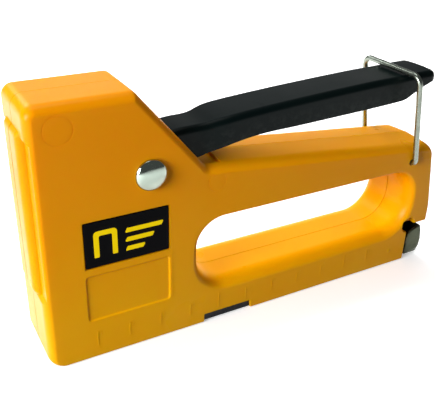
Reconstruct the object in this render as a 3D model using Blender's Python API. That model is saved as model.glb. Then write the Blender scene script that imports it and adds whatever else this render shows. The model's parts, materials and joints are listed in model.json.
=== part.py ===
"""Staple gun: a two-shell plastic housing with a pressed steel lever, wire bail and pull-out magazine.

Sizes are in millimetres. A station runs rearwards along the length, from the zero mark of the ruler
on the base, and z runs up from the base. The world origin is under the middle of the length.
"""

import math

import bmesh
import bpy
from mathutils import Matrix, Vector

MM = 0.001

# Clearances
GAP = 0.3               # between two pieces that touch or rest on each other
SHEET_GAP = 0.6         # between the lever and the slot that it moves in

# Housing
HALF_WIDTH = 12.0
WALL = 2.2
EDGE_ROUND = 2.4        # rounding of the shells' outer edges and of the finger hole's rim
FRONT = -4.4            # station of the head's front blocks
REAR = 137.5
HEAD_TOP = 79.2
HEAD_BACK = 24.2        # station where the flat top ends
SLOPE_FOOT = 44.6       # station where the head's back slope meets the grip
GRIP_TOP_FRONT = 54.9   # height of the grip's top at the slope's foot
GRIP_TOP_REAR = 45.7
GRIP_BACK = 133.9       # station of the grip's top rear corner
HOLE_FRONT = 42.9
HOLE_REAR = 126.7
HOLE_LOW = 13.8
HOLE_HIGH = 37.0
HOLE_ROUND = 9.5
NOTCH_FRONT = 128.5     # the corner cut away round the magazine's clip
NOTCH_HIGH = 14.3
FINGER_NOTCH = 3.0
SIDE_SLOT = (44.9, 62.4, 3.2)     # front, rear and height of the window in the base's edge

# Front of the head
RIB_HALF = 5.4
RIB_PROUD = 1.2
RIB_LOW = 22.0
RIB_HIGH = 71.2
SHOULDER_DEEP = 1.0     # the front's recesses beside the rib
SHOULDER_LOW = 23.0
SHOULDER_HIGH = 70.0

# Label and panel on the head's sides
PANEL_FRONT = 8.0
PANEL_REAR = 32.8
LABEL_LOW = 31.0
LABEL_HIGH = 45.1
LABEL_THICK = 0.5
PANEL_LOW = 13.6
PANEL_HIGH = 28.0
PANEL_DEEP = 0.4

# Lever
PIVOT = (27.7, 55.8)
PIVOT_R = 2.5
RIVET_HEAD_R = 4.6
RIVET_HEAD_HIGH = 2.0
LEVER_HALF = 8.0
LEVER_SHEET = 1.5
LEVER_EDGE = 2.4
LEVER_END = 134.3

# Driver
BLADE_BACK = 1.4
BLADE_THICK = 0.8
BLADE_HALF = 5.4
BLADE_LOW = 8.0
HAMMER_REAR = 8.0
HAMMER_LOW = 36.0
HAMMER_HIGH = 50.0
SHELF_REAR = 14.5
SHELF_THICK = 2.0
LIFT_PIN = (12.0, 45.6)
LIFT_PIN_R = 2.0
LIFT_PIN_ROOM = 1.3      # from each end of the lifting pin to the inside of the wall
SPRING_STATION = 7.0
SPRING_R = 4.3
SPRING_WIRE = 1.3
SPRING_TURNS = 6
SEAT_LOW = 66.0
SEAT_THICK = 2.2
GUIDE_R = 2.0
GUIDE_LOW = 57.0
BUMPER_THICK = 3.2
BUMPER_FREE = 2.6       # gap under the raised hammer
LEDGE_THICK = 3.0
NOSE_PLATE = 0.8
NOSE_PLATE_HIGH = 26.0

# Magazine
CHANNEL_HALF = 7.0
CHANNEL_HIGH = 10.4
CHANNEL_SHEET = 0.8
CHANNEL_REAR = 127.6
RAIL_HALF = 4.2
RAIL_LOW = 2.5
RAIL_HIGH = 7.2
RAIL_SHEET = 0.7
ROD_Z = 4.3
ROD_R = 0.75
ROD_FRONT = 10.0
FOLLOWER_FRONT = 12.0
FOLLOWER_LONG = 9.0
FOLLOWER_SIDE = 1.3
PUSH_R = 1.8
PUSH_WIRE = 0.5
PUSH_TURNS = 15
TAB_DEEP = 0.8          # how far the channel's tabs stand in from the side
CLIP_FRONT = 129.6
CLIP_REAR = 136.9
CLIP_HALF = 11.2
CLIP_HIGH = 12.4
CLIP_SHEET = 1.0
BLOCK_LONG = 5.0

# Bail
BAIL_PIVOT = (124.8, 40.2)
BAIL_BAR = 120.2        # station of the crossbar
BAIL_WIRE_R = 0.95
BAIL_BEND = 3.2

# Housing screws: station and height of each
SCREWS = {
    "screw_head": (3.6, 72.4),
    "screw_grip": (48.2, 49.2),
    "screw_rear": (131.6, 26.0),
    "screw_base": (37.6, 23.5),
}
BOSS_R = 3.6
SCREW_R = 1.3
SCREW_HEAD_R = 2.7
SCREW_HEAD_HIGH = 2.0

# Worked out from the sizes above
MIDDLE = (FRONT - RIB_PROUD + REAR) / 2
INNER_HALF = HALF_WIDTH - WALL
PARTING = GAP / 2
INSIDE_END = PARTING + 0.1      # the rib, bosses and ledges stop just short of the parting face
SEGMENTS = 6

YELLOW = (0.86, 0.42, 0.02)
BLACK = (0.02, 0.025, 0.025)
DARK_STEEL = (0.10, 0.10, 0.10)
STEEL = (0.42, 0.43, 0.40)
BRIGHT = (0.75, 0.75, 0.75)
RUBBER = (0.03, 0.03, 0.03)


def world(station, y, z):
    """A point in millimetres from the world's origin. finish brings each shape to metres."""
    return Vector((station - MIDDLE, y, z))


# ---------------------------------------------------------------- outlines


def moved_in(corners, inset):
    """Corners (station, z, radius) of a counter-clockwise outline, moved in by inset."""
    result = []
    for i, (x, z, radius) in enumerate(corners):
        here = Vector((x, z))
        before = here - Vector(corners[i - 1][:2])
        after = Vector(corners[(i + 1) % len(corners)][:2]) - here
        before.normalize()
        after.normalize()
        turn = before.x * after.y - before.y * after.x
        normals = Vector((-before.y, before.x)) + Vector((-after.y, after.x))
        step = normals * (inset / (1 + before.dot(after)))
        new_radius = radius - inset if turn > 0 else radius + inset
        result.append((x + step.x, z + step.y, max(new_radius, 0.25)))
    return result


def rounded(corners):
    """Points round the outline, with each corner an arc of SEGMENTS steps."""
    points = []
    for i, (x, z, radius) in enumerate(corners):
        here = Vector((x, z))
        back = (Vector(corners[i - 1][:2]) - here).normalized()
        ahead = (Vector(corners[(i + 1) % len(corners)][:2]) - here).normalized()
        half = math.acos(max(-1.0, min(1.0, back.dot(ahead)))) / 2
        centre = here + (back + ahead).normalized() * (radius / math.sin(half))
        start = here + back * (radius / math.tan(half)) - centre
        turn = back.x * ahead.y - back.y * ahead.x
        sweep = (math.pi - 2 * half) * (1 if turn < 0 else -1)
        for step in range(SEGMENTS + 1):
            angle = sweep * step / SEGMENTS
            spun = Matrix.Rotation(angle, 2) @ start
            points.append((centre.x + spun.x, centre.y + spun.y))
    return points


def body_corners():
    return [
        (FRONT, 0.0, 3.4),
        (NOTCH_FRONT, 0.0, 0.5),
        (NOTCH_FRONT, NOTCH_HIGH, 0.8),
        (REAR, NOTCH_HIGH, 0.8),
        (REAR, NOTCH_HIGH + 8.0, 8.0),
        (GRIP_BACK, GRIP_TOP_REAR, 6.0),
        (SLOPE_FOOT, GRIP_TOP_FRONT, 1.5),
        (HEAD_BACK, HEAD_TOP, 3.0),
        (FRONT, HEAD_TOP, 3.0),
    ]


def hole_corners():
    return [
        (HOLE_FRONT, HOLE_LOW, HOLE_ROUND),
        (HOLE_REAR, HOLE_LOW, HOLE_ROUND),
        (HOLE_REAR, HOLE_HIGH, HOLE_ROUND),
        (HOLE_FRONT, HOLE_HIGH, HOLE_ROUND),
    ]


# ---------------------------------------------------------------- solids


def to_metres(obj):
    if obj.type == "MESH":
        obj.data.transform(Matrix.Scale(MM, 4))
        return
    obj.data.bevel_depth *= MM
    for point in obj.data.splines[0].points:
        point.co = (*(Vector(point.co[:3]) * MM), 1)


def finish(obj, colour, roughness, metallic):
    to_metres(obj)
    material = bpy.data.materials.new(obj.name + "_finish")
    material.use_nodes = True
    shader = material.node_tree.nodes["Principled BSDF"]
    shader.inputs["Base Color"].default_value = (*colour, 1)
    shader.inputs["Roughness"].default_value = roughness
    shader.inputs["Metallic"].default_value = metallic
    obj.data.materials.clear()
    obj.data.materials.append(material)
    return obj


def new_object(name, bm):
    bmesh.ops.recalc_face_normals(bm, faces=bm.faces)
    mesh = bpy.data.meshes.new(name)
    bm.to_mesh(mesh)
    bm.free()
    obj = bpy.data.objects.new(name, mesh)
    bpy.context.scene.collection.objects.link(obj)
    return obj


def loop_of(bm, outline, y):
    verts = [bm.verts.new(world(x, y, z)) for x, z in outline]
    edges = [bm.edges.new((v, verts[(i + 1) % len(verts)])) for i, v in enumerate(verts)]
    return verts, edges


def bridged(bm, one, other):
    count = len(one)
    for i in range(count):
        j = (i + 1) % count
        bm.faces.new((one[i], one[j], other[j], other[i]))


def layered(name, layers):
    """A solid from layers (y, [outline, ...]); matching outlines are bridged and both ends filled."""
    bm = bmesh.new()
    made = [[loop_of(bm, outline, y) for outline in outlines] for y, outlines in layers]
    for lower, upper in zip(made, made[1:]):
        for (one, _), (other, _) in zip(lower, upper):
            bridged(bm, one, other)
    for end in (made[0], made[-1]):
        edges = [edge for _, loop in end for edge in loop]
        bmesh.ops.triangle_fill(bm, edges=edges, use_beauty=True)
    return new_object(name, bm)


def prism(name, outline, y0, y1):
    return layered(name, [(y0, [outline]), (y1, [outline])])


def box(name, x0, x1, y0, y1, z0, z1):
    return prism(name, [(x0, z0), (x1, z0), (x1, z1), (x0, z1)], y0, y1)


AXES = {
    "X": Matrix(((0, 0, 1), (0, 1, 0), (-1, 0, 0))),
    "Y": Matrix(((1, 0, 0), (0, 0, -1), (0, 1, 0))),
    "Z": Matrix.Identity(3),
}


def turned(name, profile, centre, axis, sides=24):
    """A solid turned about axis through centre, from (radius, along) points that start and end on it."""
    bm = bmesh.new()
    spin = AXES[axis]
    place = world(*centre)
    rings = []
    for radius, along in profile:
        count = sides if radius > 0 else 1
        angles = [2 * math.pi * k / count for k in range(count)]
        local = [Vector((radius * math.cos(a), radius * math.sin(a), along)) for a in angles]
        rings.append([bm.verts.new(place + spin @ p) for p in local])
    for one, other in zip(rings, rings[1:]):
        for k in range(sides):
            a = one[k % len(one)], one[(k + 1) % len(one)]
            b = other[k % len(other)], other[(k + 1) % len(other)]
            corners = list(dict.fromkeys((a[0], a[1], b[1], b[0])))
            bm.faces.new(corners)
    return new_object(name, bm)


def rod(name, centre, axis, radius, low, high, sides=24):
    return turned(name, [(0, low), (radius, low), (radius, high), (0, high)], centre, axis, sides)


def wire(name, points, radius, resolution=1):
    """A round wire along world points."""
    curve = bpy.data.curves.new(name, "CURVE")
    curve.dimensions = "3D"
    curve.bevel_depth = radius
    curve.bevel_resolution = resolution
    curve.use_fill_caps = True
    spline = curve.splines.new("POLY")
    spline.points.add(len(points) - 1)
    for point, place in zip(spline.points, points):
        point.co = (*place, 1)
    obj = bpy.data.objects.new(name, curve)
    bpy.context.scene.collection.objects.link(obj)
    return obj


def combine(obj, other, operation):
    """Joins other to obj, or cuts it away, and removes other."""
    modifier = obj.modifiers.new(operation.lower(), "BOOLEAN")
    modifier.operation = operation
    modifier.solver = "MANIFOLD"    # EXACT leaves open edges on the shells' long thin faces
    modifier.object = other
    graph = bpy.context.evaluated_depsgraph_get()
    mesh = bpy.data.meshes.new_from_object(obj.evaluated_get(graph))
    obj.modifiers.remove(modifier)
    old = obj.data
    obj.data = mesh
    mesh.name = obj.name
    bpy.data.meshes.remove(old)
    bpy.data.objects.remove(other)
    return obj


def cut(obj, *others):
    for other in others:
        combine(obj, other, "DIFFERENCE")
    return obj


def join(obj, *others):
    for other in others:
        combine(obj, other, "UNION")
    return obj


def hang(obj, origin, parent=None):
    """Puts the object's origin at a world point, with its shape where it was."""
    if obj.type == "MESH":
        obj.data.transform(Matrix.Translation(-origin))
    else:
        for point in obj.data.splines[0].points:
            point.co = (*(Vector(point.co[:3]) - origin), 1)
    obj.location = origin
    if parent:
        obj.parent = parent
        obj.matrix_parent_inverse = Matrix.Translation(parent.location).inverted()
    return obj


def smooth(obj, degrees=35):
    if obj.type == "MESH":
        obj.data.shade_smooth()
        obj.data.set_sharp_from_angle(angle=math.radians(degrees))
    return obj


# ---------------------------------------------------------------- housing


def shell_blank(name, side):
    """Half of the housing as a solid: side is -1 for the left half and 1 for the right."""
    body = body_corners()
    hole = hole_corners()
    layers = [(side * PARTING, [rounded(body), rounded(hole)])]
    for step in range(4):
        angle = math.pi / 2 * step / 3
        inset = EDGE_ROUND * (1 - math.cos(angle))
        y = HALF_WIDTH - EDGE_ROUND * (1 - math.sin(angle))
        outlines = [rounded(moved_in(body, inset)), rounded(moved_in(hole, -inset))]
        layers.append((side * y, outlines))
    return layered(name, layers)


def shell_hollow(side):
    body = rounded(moved_in(body_corners(), WALL))
    hole = rounded(moved_in(hole_corners(), -WALL))
    return layered("hollow", [(-side * 2, [body, hole]), (side * INNER_HALF, [body, hole])])


def shoulder(side):
    """The shallow recess in the front face on one side of the rib."""
    return box("shoulder", FRONT - 1, FRONT + SHOULDER_DEEP, side * (RIB_HALF - 0.5),
               side * (HALF_WIDTH + 1), SHOULDER_LOW, SHOULDER_HIGH)


def front_rib(side):
    """The proud band down the middle of the head's front, with chamfered ends."""
    back = FRONT + WALL / 2
    face = FRONT - RIB_PROUD
    outline = [
        (back, RIB_LOW),
        (FRONT, RIB_LOW),
        (face, RIB_LOW + RIB_PROUD),
        (face, RIB_HIGH - RIB_PROUD),
        (FRONT, RIB_HIGH),
        (back, RIB_HIGH),
    ]
    return prism("rib", outline, side * INSIDE_END, side * RIB_HALF)


def boss(side, station, z):
    return rod("boss", (station, 0, z), "Y", BOSS_R, *across(side, INSIDE_END, INNER_HALF + 1))


def across(side, near, far):
    """The along values of a rod on the Y axis between two distances from the middle."""
    return sorted((-side * near, -side * far))


def lever_slot():
    low = GRIP_TOP_FRONT - 1.9
    high = PIVOT[1] + 8.9
    half = LEVER_HALF + SHEET_GAP
    return box("slot", PIVOT[0] + 6, SLOPE_FOOT + 6.6, -half, half, low, high)


def base_opening():
    """The way in for the magazine, along the bottom and out of the back."""
    half = CHANNEL_HALF + GAP
    inside = FRONT + WALL
    return [
        box("bottom_cut", inside, NOTCH_FRONT + 2, -half, half, -1, WALL + 1),
        box("back_cut", HOLE_REAR - 6, NOTCH_FRONT + 2, -half, half, -1, HOLE_LOW - WALL),
    ]


def side_details(side):
    face = side * (HALF_WIDTH - PANEL_DEEP)
    out = side * (HALF_WIDTH + 1)
    front, rear, high = SIDE_SLOT
    cuts = [
        box("panel", PANEL_FRONT, PANEL_REAR, face, out, PANEL_LOW, PANEL_HIGH),
        box("window", front, rear, side * CHANNEL_HALF, out, -1, high),
    ]
    cuts.append(rod("finger_notch", (NOTCH_FRONT, 0, NOTCH_HIGH), "Y", FINGER_NOTCH,
                    *across(side, INNER_HALF - 0.5, HALF_WIDTH + 1)))
    return cuts


def pin_holes(side):
    whole = across(side, INNER_HALF - 1, HALF_WIDTH + 1)
    bail = BAIL_WIRE_R + GAP
    return [
        rod("pivot_hole", (PIVOT[0], 0, PIVOT[1]), "Y", PIVOT_R + GAP, *whole),
        rod("bail_hole", (BAIL_PIVOT[0], 0, BAIL_PIVOT[1]), "Y", bail, *whole, sides=16),
    ]


def bumper_ledge(side):
    """The shelf that the bumper rests on, across the head behind the blade."""
    top = HAMMER_LOW - BUMPER_FREE - BUMPER_THICK - GAP
    front = BLADE_BACK + 2 * GAP
    return box("ledge", front, HAMMER_REAR + 2, side * INSIDE_END, side * (INNER_HALF + 1),
               top - LEDGE_THICK, top)


def make_shell(name, side):
    shell = cut(shell_blank(name, side), shell_hollow(side), shoulder(side))
    join(shell, front_rib(side), bumper_ledge(side))
    join(shell, *[boss(side, *place) for place in SCREWS.values()])
    cut(shell, lever_slot(), *base_opening(), *side_details(side), *pin_holes(side))
    return shell


def make_left_shell():
    shell = make_shell("left_shell", -1)
    depth = HALF_WIDTH - WALL / 2
    for station, z in SCREWS.values():
        cut(shell, rod("pilot", (station, 0, z), "Y", SCREW_R + GAP, -1, depth))
    label_floor = HALF_WIDTH - LABEL_THICK - GAP
    recess = box("recess", PANEL_FRONT - GAP, PANEL_REAR + GAP, -HALF_WIDTH - 1, -label_floor,
                 LABEL_LOW - GAP, LABEL_HIGH + GAP)
    cut(shell, recess)
    return finish(smooth(shell), YELLOW, 0.3, 0.0)


def make_right_shell():
    shell = make_shell("right_shell", 1)
    for station, z in SCREWS.values():
        seat = HALF_WIDTH - SCREW_HEAD_HIGH - 2 * GAP
        cut(shell, rod("shank_hole", (station, 0, z), "Y", SCREW_R + GAP, -HALF_WIDTH - 1, 1))
        cut(shell, rod("head_hole", (station, 0, z), "Y", SCREW_HEAD_R + GAP,
                       -HALF_WIDTH - 1, -seat))
    return finish(smooth(shell), YELLOW, 0.3, 0.0)


def make_label():
    label = box("left_label", PANEL_FRONT, PANEL_REAR, -HALF_WIDTH + 0.02,
                -HALF_WIDTH + 0.02 + LABEL_THICK, LABEL_LOW, LABEL_HIGH)
    return finish(label, BLACK, 0.15, 0.0)


def make_screw(name, station, z):
    """A pan-head screw that goes in from the right and bites into the left shell's boss."""
    seat = -(HALF_WIDTH - SCREW_HEAD_HIGH - GAP)
    head = -(HALF_WIDTH - GAP)
    tip = HALF_WIDTH - WALL - 1
    profile = [(0, tip), (SCREW_R * 0.5, tip), (SCREW_R, tip - 1.5), (SCREW_R, seat),
               (SCREW_HEAD_R, seat), (SCREW_HEAD_R, head + 0.6), (SCREW_HEAD_R - 0.6, head), (0, head)]
    screw = turned(name, profile, (station, 0, z), "Y", sides=16)
    slot = box("slot", station - 1.7, station + 1.7, HALF_WIDTH - 1.4, HALF_WIDTH + 1,
               z - 0.35, z + 0.35)
    cross = box("cross", station - 0.35, station + 0.35, HALF_WIDTH - 1.4, HALF_WIDTH + 1,
                z - 1.7, z + 1.7)
    cut(screw, slot, cross)
    return finish(smooth(screw), STEEL, 0.35, 1.0)


# ---------------------------------------------------------------- lever


def lever_outline():
    """Side view of the lever: the handle's top, its curled end, the skirt and the front arm."""
    top = PIVOT[1] + 8.2
    end_top = PIVOT[1] + 14.5
    return [
        (LEVER_END - 2.3, end_top), (LEVER_END - 6.3, end_top - 0.1), (LEVER_END - 14.3, end_top - 0.4),
        (SLOPE_FOOT + 62, top + 5.6), (SLOPE_FOOT + 46, top + 4.8), (SLOPE_FOOT + 14, top + 2.7),
        (SLOPE_FOOT + 7, top + 1.7), (SLOPE_FOOT + 2, top + 0.1), (PIVOT[0] + 9, top - 0.2),
        (PIVOT[0] + 2, PIVOT[1] + 5.6), (PIVOT[0] - 5, PIVOT[1] + 4.4),
        (LIFT_PIN[0] - 2, LIFT_PIN[1] + 3.6), (LIFT_PIN[0] - 3.4, LIFT_PIN[1]),
        (LIFT_PIN[0] - 1, LIFT_PIN[1] - 3.4), (LIFT_PIN[0] + 3, LIFT_PIN[1] - 2.6),
        (PIVOT[0] - 2, PIVOT[1] - 4.8), (PIVOT[0] + 4, PIVOT[1] - 3.4),
        (SLOPE_FOOT, PIVOT[1] - 0.1), (SLOPE_FOOT + 4, PIVOT[1] + 1.0),
        (SLOPE_FOOT + 11.4, PIVOT[1] + 2.5), (SLOPE_FOOT + 20.4, PIVOT[1] + 3.8),
        (SLOPE_FOOT + 46, PIVOT[1] + 4.6), (SLOPE_FOOT + 74, PIVOT[1] + 5.9),
        (LEVER_END - 13.3, PIVOT[1] + 6.3), (LEVER_END - 10.7, PIVOT[1] + 7.6),
        (LEVER_END - 7.3, PIVOT[1] + 9.2), (LEVER_END - 3.3, PIVOT[1] + 10.8),
        (LEVER_END - 1.3, PIVOT[1] + 11.3), (LEVER_END - 0.3, end_top - 2.8),
        (LEVER_END, end_top - 1.9), (LEVER_END - 0.7, end_top - 0.6),
    ]


def lever_inside():
    """The channel's inner space: it starts at the slot, so that the front arm is two plates."""
    under = PIVOT[1] + 8.2 - LEVER_SHEET
    front = PIVOT[0] + 9
    return [
        (LIFT_PIN[0] - 9, LIFT_PIN[1] - 9), (LEVER_END - 4.2, LIFT_PIN[1] - 9),
        (LEVER_END - 4.2, PIVOT[1] + 12.6), (LEVER_END - 8, PIVOT[1] + 12.6),
        (SLOPE_FOOT + 62, under + 5.6), (SLOPE_FOOT + 46, under + 4.8),
        (SLOPE_FOOT + 14, under + 2.7), (SLOPE_FOOT + 7, under + 1.7),
        (SLOPE_FOOT + 2, under + 0.1), (front + 1, under - 0.2),
        (front, HEAD_TOP), (LIFT_PIN[0] - 9, HEAD_TOP),
    ]


def round_top_edges(obj):
    """Rounds the handle's two long top edges and its curled end."""
    bm = bmesh.new()
    bm.from_mesh(obj.data)
    front = world(SLOPE_FOOT - 8, 0, 0).x
    end = world(LEVER_END - 0.2, 0, 0).x
    chosen = []
    for edge in bm.edges:
        a, b = edge.verts
        flat = abs(a.co.y - b.co.y) < 1e-4 and abs(abs(a.co.y) - LEVER_HALF) < 1e-4
        if not flat or len(edge.link_faces) != 2 or min(a.co.x, b.co.x) < front:
            continue
        if max(a.co.x, b.co.x) < end and (a.co.z + b.co.z) / 2 > PIVOT[1] + 8.0:
            if max(face.normal.z for face in edge.link_faces) > 0.5:
                chosen.append(edge)
    bmesh.ops.bevel(bm, geom=chosen, offset=LEVER_EDGE, segments=3, profile=0.5,
                    affect="EDGES", clamp_overlap=True)
    bm.to_mesh(obj.data)
    bm.free()


def make_lever():
    lever = prism("lever", lever_outline(), -LEVER_HALF, LEVER_HALF)
    round_top_edges(lever)
    inner = LEVER_HALF - LEVER_SHEET
    cut(lever, prism("inside", lever_inside(), -inner, inner))
    far = LEVER_HALF + 1
    cut(lever, rod("pivot_hole", (PIVOT[0], 0, PIVOT[1]), "Y", PIVOT_R + GAP, -far, far))
    cut(lever, rod("lift_hole", (LIFT_PIN[0], 0, LIFT_PIN[1]), "Y", LIFT_PIN_R + GAP, -far, far))
    return finish(smooth(lever), BLACK, 0.35, 0.0)


def make_lift_pin():
    length = INNER_HALF - LIFT_PIN_ROOM
    pin = rod("lift_pin", (LIFT_PIN[0], 0, LIFT_PIN[1]), "Y", LIFT_PIN_R, -length, length, 20)
    return finish(smooth(pin), STEEL, 0.3, 1.0)


def make_pivot_rivet():
    """A shaft right through both shells and the lever, with a dome head on each side."""
    seat = HALF_WIDTH + GAP
    dome = []
    for step in range(5):
        angle = math.pi / 2 * step / 4
        dome.append((RIVET_HEAD_R * math.cos(angle), seat + RIVET_HEAD_HIGH * math.sin(angle)))
    dome[-1] = (0, seat + RIVET_HEAD_HIGH)
    right = [(PIVOT_R, seat), *dome]
    profile = [(r, -along) for r, along in reversed(right)] + right
    rivet = turned("pivot_rivet", profile, (PIVOT[0], 0, PIVOT[1]), "Y")
    return finish(smooth(rivet, 50), BRIGHT, 0.08, 1.0)


def coil_points(centre, axis, radius, length, turns, per_turn=12):
    """World points round a helix; its length runs along axis from centre."""
    spin = AXES[axis]
    place = world(*centre)
    points = []
    for k in range(turns * per_turn + 1):
        angle = 2 * math.pi * k / per_turn
        along = length * k / (turns * per_turn)
        local = Vector((radius * math.cos(angle), radius * math.sin(angle), along))
        points.append(place + spin @ local)
    return points


def make_lever_spring():
    """A torsion spring round the pivot: one leg lifts the lever, the other bears on the housing."""
    radius = PIVOT_R + 1.6
    half = 2.6
    coil = coil_points((PIVOT[0], half, PIVOT[1]), "Y", radius, 2 * half, 4)
    lift_leg = world(PIVOT[0] + radius, half, PIVOT[1] + 5.5)
    hold_leg = world(PIVOT[0] + radius, -half, PIVOT[1] - 9)
    spring = wire("lever_spring", [lift_leg, *coil, hold_leg], 0.45)
    return finish(spring, STEEL, 0.3, 1.0)


# ---------------------------------------------------------------- driver


def make_blade():
    front = BLADE_BACK - BLADE_THICK
    high = HAMMER_HIGH - 3
    blade = box("driver_blade", front, BLADE_BACK, -BLADE_HALF, BLADE_HALF, BLADE_LOW, high)
    return finish(blade, BRIGHT, 0.25, 1.0)


def make_hammer():
    """The sliding weight, with the shelf behind it that the lever's pin lifts."""
    front = BLADE_BACK + GAP
    half = BLADE_HALF + 0.1
    shelf = HAMMER_HIGH - SHELF_THICK
    outline = [(front, HAMMER_LOW), (HAMMER_REAR, HAMMER_LOW), (HAMMER_REAR, shelf),
               (SHELF_REAR, shelf), (SHELF_REAR, HAMMER_HIGH), (front, HAMMER_HIGH)]
    hammer = prism("hammer_block", outline, -half, half)
    return finish(hammer, DARK_STEEL, 0.4, 1.0)


def spring_low():
    return HAMMER_HIGH + GAP + SPRING_WIRE / 2


def make_power_spring():
    length = SEAT_LOW - GAP - SPRING_WIRE / 2 - spring_low()
    points = coil_points((SPRING_STATION, 0, spring_low()), "Z", SPRING_R, length, SPRING_TURNS)
    return finish(wire("power_spring", points, SPRING_WIRE / 2), STEEL, 0.3, 1.0)


def make_spring_seat():
    """The fixed plate over the power spring, with the guide post that keeps the coil straight."""
    reach = SPRING_R + SPRING_WIRE + 0.4
    half = INNER_HALF - 2 * GAP
    seat = box("spring_seat", SPRING_STATION - reach, SPRING_STATION + reach, -half, half,
               SEAT_LOW, SEAT_LOW + SEAT_THICK)
    post = rod("post", (SPRING_STATION, 0, 0), "Z", GUIDE_R, GUIDE_LOW, SEAT_LOW + 0.5, 16)
    join(seat, post)
    return finish(seat, DARK_STEEL, 0.4, 1.0)


def make_bumper():
    top = HAMMER_LOW - BUMPER_FREE
    half = BLADE_HALF
    bumper = box("hammer_bumper", BLADE_BACK + 2 * GAP, HAMMER_REAR + 1.5, -half, half,
                 top - BUMPER_THICK, top)
    return finish(bumper, RUBBER, 0.8, 0.0)


def make_nose_plate():
    """The steel face that the blade and staple run down."""
    front = FRONT + WALL + GAP
    plate = box("nose_plate", front, front + NOSE_PLATE, -CHANNEL_HALF, CHANNEL_HALF,
                GAP, NOSE_PLATE_HIGH)
    return finish(plate, STEEL, 0.35, 1.0)


# ---------------------------------------------------------------- magazine


def channel_front():
    return BLADE_BACK + GAP


def make_channel():
    inner = CHANNEL_HALF - CHANNEL_SHEET
    channel = box("magazine_channel", channel_front(), CHANNEL_REAR, -CHANNEL_HALF, CHANNEL_HALF,
                  GAP, CHANNEL_HIGH)
    cut(channel, box("inside", channel_front() - 1, CHANNEL_REAR + 1, -inner, inner,
                     GAP + CHANNEL_SHEET, CHANNEL_HIGH + 1))
    front, rear, high = SIDE_SLOT
    for side in (-1, 1):
        join(channel, box("tab", front + GAP, rear - GAP, side * (CHANNEL_HALF - CHANNEL_SHEET / 2),
                          side * (HALF_WIDTH - TAB_DEEP), GAP, high - GAP))
    return finish(channel, DARK_STEEL, 0.45, 1.0)


def make_rail():
    """The inverted channel that the staples sit astride, hooked on the blade guide at the front."""
    inner = RAIL_HALF - RAIL_SHEET
    front = channel_front() + GAP
    rail = box("staple_rail", front, CHANNEL_REAR - BLOCK_LONG, -RAIL_HALF, RAIL_HALF,
               RAIL_LOW, RAIL_HIGH)
    cut(rail, box("inside", front - 1, CHANNEL_REAR, -inner, inner, 0, RAIL_HIGH - RAIL_SHEET))
    return finish(rail, STEEL, 0.35, 1.0)


def make_follower():
    """The saddle behind the staples; its inner block, under the rail, runs on the rod."""
    rear = FOLLOWER_FRONT + FOLLOWER_LONG
    inner = RAIL_HALF + GAP
    outer = CHANNEL_HALF - CHANNEL_SHEET - GAP
    low = GAP + CHANNEL_SHEET + GAP
    follower = box("follower", FOLLOWER_FRONT, rear, -outer, outer, low, RAIL_HIGH + GAP + FOLLOWER_SIDE)
    space = box("space", FOLLOWER_FRONT - 1, rear + 1, -inner, inner, RAIL_LOW - GAP, RAIL_HIGH + GAP)
    block_half = RAIL_HALF - RAIL_SHEET - GAP
    block_top = RAIL_HIGH - RAIL_SHEET - GAP
    block = box("block", FOLLOWER_FRONT, rear, -block_half, block_half, low, block_top)
    cut(follower, space)
    join(follower, block)
    cut(follower, rod("bore", (0, 0, ROD_Z), "X", ROD_R + GAP, FOLLOWER_FRONT - 1, rear + 1, 12))
    return finish(follower, BLACK, 0.5, 0.0)


def block_front():
    return CHANNEL_REAR - BLOCK_LONG + GAP


def make_pusher_rod():
    """The rod down the middle of the rail; its head pulls the follower out with it."""
    head = 2 * ROD_R
    low = ROD_FRONT
    profile = [(0, low), (head, low), (head, FOLLOWER_FRONT - GAP), (ROD_R, FOLLOWER_FRONT - GAP),
               (ROD_R, CLIP_FRONT - GAP), (0, CLIP_FRONT - GAP)]
    pusher = turned("pusher_rod", profile, (0, 0, ROD_Z), "X", sides=12)
    return finish(smooth(pusher), STEEL, 0.3, 1.0)


def make_pusher_spring():
    start = FOLLOWER_FRONT + FOLLOWER_LONG + GAP + PUSH_WIRE / 2
    length = block_front() - GAP - PUSH_WIRE / 2 - start
    points = coil_points((start, 0, ROD_Z), "X", PUSH_R, length, PUSH_TURNS, 8)
    return finish(wire("pusher_spring", points, PUSH_WIRE / 2, 0), STEEL, 0.3, 1.0)


def make_rod_block():
    """The plastic plug at the rod's rear end, which closes the channel and carries the clip."""
    half = CHANNEL_HALF - CHANNEL_SHEET - GAP
    low = GAP + CHANNEL_SHEET + GAP
    block = box("rod_block", block_front(), CLIP_FRONT - GAP, -half, half, low, CHANNEL_HIGH - 1)
    cut(block, rod("bore", (0, 0, ROD_Z), "X", ROD_R + GAP, block_front() - 1, CLIP_FRONT + 1, 12))
    return finish(block, BLACK, 0.5, 0.0)


def clip_outline():
    """Side view of the clip: a foot, a hooked rear wall and an open top."""
    return [
        (CLIP_FRONT, 1.0), (CLIP_REAR - 1.5, 1.0), (CLIP_REAR - 0.5, 3.2), (CLIP_REAR, 5.8),
        (CLIP_REAR - 0.6, 10.2), (CLIP_REAR - 1.1, CLIP_HIGH), (CLIP_FRONT + 4.4, CLIP_HIGH - 0.6),
        (CLIP_FRONT + 1.6, CLIP_HIGH - 1.3), (CLIP_FRONT + 0.3, CLIP_HIGH - 2.3),
        (CLIP_FRONT, CLIP_HIGH - 4.7),
    ]


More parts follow.
